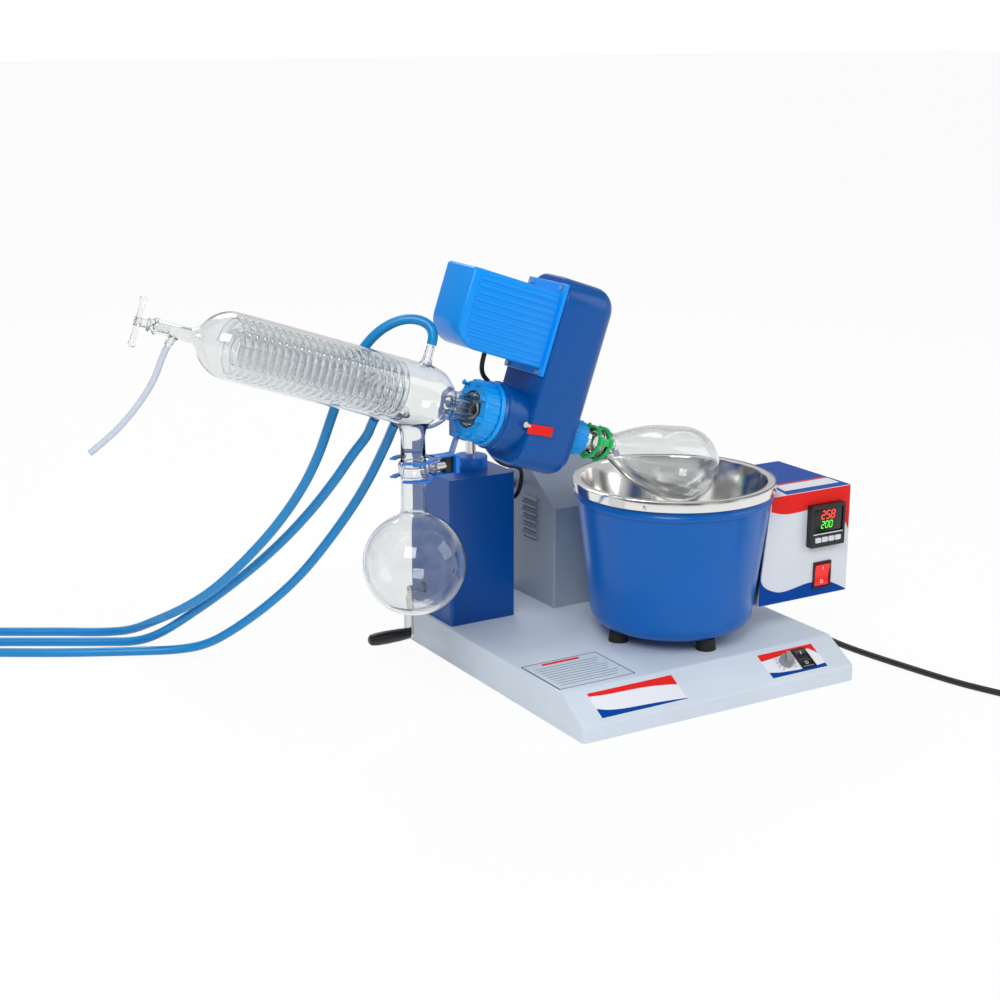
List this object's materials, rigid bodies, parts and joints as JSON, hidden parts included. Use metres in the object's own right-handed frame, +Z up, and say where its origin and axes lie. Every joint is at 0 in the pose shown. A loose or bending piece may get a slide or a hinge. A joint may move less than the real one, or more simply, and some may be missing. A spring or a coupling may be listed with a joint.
{
  "type": "rotary evaporator",
  "caption": "Benchtop rotary evaporator: crank-lifted motor head with a tilted glass condenser, receiving flask and rotating flask over a heated water bath.",
  "frame": {"origin": "centre of the base's footprint, on the table", "axes": "+X to the bath's side along the tilted axis's plan direction, +Y to the back where the lift column stands, +Z up"},
  "size_m": [1.0846, 0.8487, 0.465],
  "materials": {
    "base_paint": "semi-gloss grey-blue paint",
    "bath_paint": "gloss blue paint",
    "belt_rubber": "matt black toothed belt",
    "black_plastic": "black plastic",
    "box_paint": "semi-gloss grey paint",
    "bracket_paint": "dark blue paint",
    "brass": "plain brass",
    "cable_black": "satin black cable sheath",
    "cast_alloy": "machined alloy",
    "clear_tube": "clear flexible tube",
    "coil_glass": "clear borosilicate glass",
    "column_paint": "gloss dark blue paint",
    "core_steel": "dull steel",
    "glass": "clear borosilicate glass",
    "green_plastic": "moulded green plastic",
    "head_paint": "gloss dark blue paint",
    "hose_blue": "translucent blue hose",
    "key_grey": "grey rubbery key",
    "knob_grey": "grey plastic",
    "light_blue": "satin light blue paint",
    "panel_paint": "white-grey paint",
    "polished_steel": "polished stainless steel",
    "red_plastic": "translucent red plastic",
    "rocker_black": "gloss black plastic",
    "rubber": "matt black rubber",
    "seal_white": "white fluoropolymer",
    "steel": "bright steel"
  },
  "bodies": {
    "frame": {"base_housing": "base_paint", "base_pan": "steel", "speed_potentiometer": "black_plastic", "base_switch_bezel": "black_plastic", "column_housing": "column_paint", "lift_collar": "light_blue", "gear_carrier": "cast_alloy", "power_box": "box_paint", "power_supply": "core_steel", "power_glands": "black_plastic", "bath_body": "bath_paint", "bath_bowl": "polished_steel", "bath_heater": "steel", "temperature_probe": "brass", "bath_feet": "rubber", "control_box": "panel_paint", "temperature_controller": "black_plastic", "heater_switch_bezel": "black_plastic", "mains_cord": "cable_black", "mains_coil": "cable_black", "mains_plug": "black_plastic", "vacuum_hose": "hose_blue", "water_outlet_hose": "hose_blue", "water_inlet_hose": "hose_blue", "motor_cable": "cable_black"},
    "crank": {"crank_shaft": "steel", "crank_arm": "steel"},
    "grip": {"crank_grip": "black_plastic"},
    "lift": {"lift_rod": "polished_steel", "head_bracket": "bracket_paint", "clamp_bar": "light_blue", "clamp_forks": "steel", "clamp_screw": "steel", "head_housing": "head_paint", "motor_cover": "light_blue", "cover_screws": "steel", "motor": "core_steel", "drive_belt": "belt_rubber", "spindle_bearings": "polished_steel", "condenser_nut": "light_blue", "shaft_seal": "seal_white", "condenser_jacket": "glass", "outer_coil": "coil_glass", "inner_coil": "coil_glass", "receiving_flask": "glass", "feed_tube": "clear_tube"},
    "spindle": {"drive_spindle": "steel", "end_collar": "light_blue", "vapour_tube": "glass", "evaporating_flask": "glass", "joint_clip": "green_plastic"},
    "rotor": {"motor_rotor": "steel"},
    "stopcock": {"stopcock_key": "glass"},
    "speed_dial": {"speed_knob": "knob_grey"},
    "main_rocker": {"base_switch_rocker": "rocker_black"},
    "heater_rocker": {"heater_switch_rocker": "red_plastic"},
    "key_1": {"controller_key_1": "key_grey"},
    "key_2": {"controller_key_2": "key_grey"},
    "key_3": {"controller_key_3": "key_grey"},
    "key_4": {"controller_key_4": "key_grey"}
  },
  "joints": [
    {"name": "crank_turn", "type": "hinge", "parent": "frame", "child": "crank", "pos_m": [-0.118, 0.14585, 0.066], "axis": [-1, 0, 0], "range_deg": [0, 286.5]},
    {"name": "grip_spin", "type": "hinge", "parent": "crank", "child": "grip", "pos_m": [-0.217, 0.14585, 0.018], "axis": [-1, 0, 0], "continuous": true},
    {"name": "lift_slide", "type": "slide", "parent": "frame", "child": "lift", "axis": [0, 0, 1], "range_m": [0, 0.05], "deforming": ["vacuum_hose", "water_outlet_hose", "water_inlet_hose", "motor_cable"]},
    {"name": "spindle_spin", "type": "hinge", "parent": "lift", "child": "spindle", "pos_m": [-0.2184, -0.047, 0.3172], "axis": [0.9455, 0, -0.3256], "continuous": true},
    {"name": "motor_spin", "type": "hinge", "parent": "lift", "child": "rotor", "pos_m": [-0.149, -0.047, 0.39589], "axis": [0.9455, 0, -0.3256], "continuous": true},
    {"name": "stopcock_turn", "type": "hinge", "parent": "lift", "child": "stopcock", "pos_m": [-0.55973, -0.047, 0.43473], "axis": [0.9455, 0, -0.3256], "continuous": true},
    {"name": "speed_turn", "type": "hinge", "parent": "frame", "child": "speed_dial", "pos_m": [0.097, -0.171, 0.028], "axis": [0, 0.4961, -0.8682], "range_deg": [0, 270]},
    {"name": "main_switch_tip", "type": "hinge", "parent": "frame", "child": "main_rocker", "pos_m": [0.121, -0.171, 0.028], "axis": [1, 0, 0], "range_deg": [-10, 0]},
    {"name": "heater_switch_tip", "type": "hinge", "parent": "frame", "child": "heater_rocker", "pos_m": [0.193, -0.112, 0.096], "axis": [1, 0, 0], "range_deg": [-10, 0]},
    {"name": "key_1_press", "type": "slide", "parent": "frame", "child": "key_1", "axis": [0, 1, 0], "range_m": [0, 0.0006], "stiffness_N_per_m": 400},
    {"name": "key_2_press", "type": "slide", "parent": "frame", "child": "key_2", "axis": [0, 1, 0], "range_m": [0, 0.0006], "stiffness_N_per_m": 400},
    {"name": "key_3_press", "type": "slide", "parent": "frame", "child": "key_3", "axis": [0, 1, 0], "range_m": [0, 0.0006], "stiffness_N_per_m": 400},
    {"name": "key_4_press", "type": "slide", "parent": "frame", "child": "key_4", "axis": [0, 1, 0], "range_m": [0, 0.0006], "stiffness_N_per_m": 400}
  ],
  "couplings": [
    {"joint": "crank_turn", "follows": "lift_slide", "rad_per_m": 100},
    {"joint": "motor_spin", "follows": "spindle_spin", "ratio": 2.4}
  ]
}
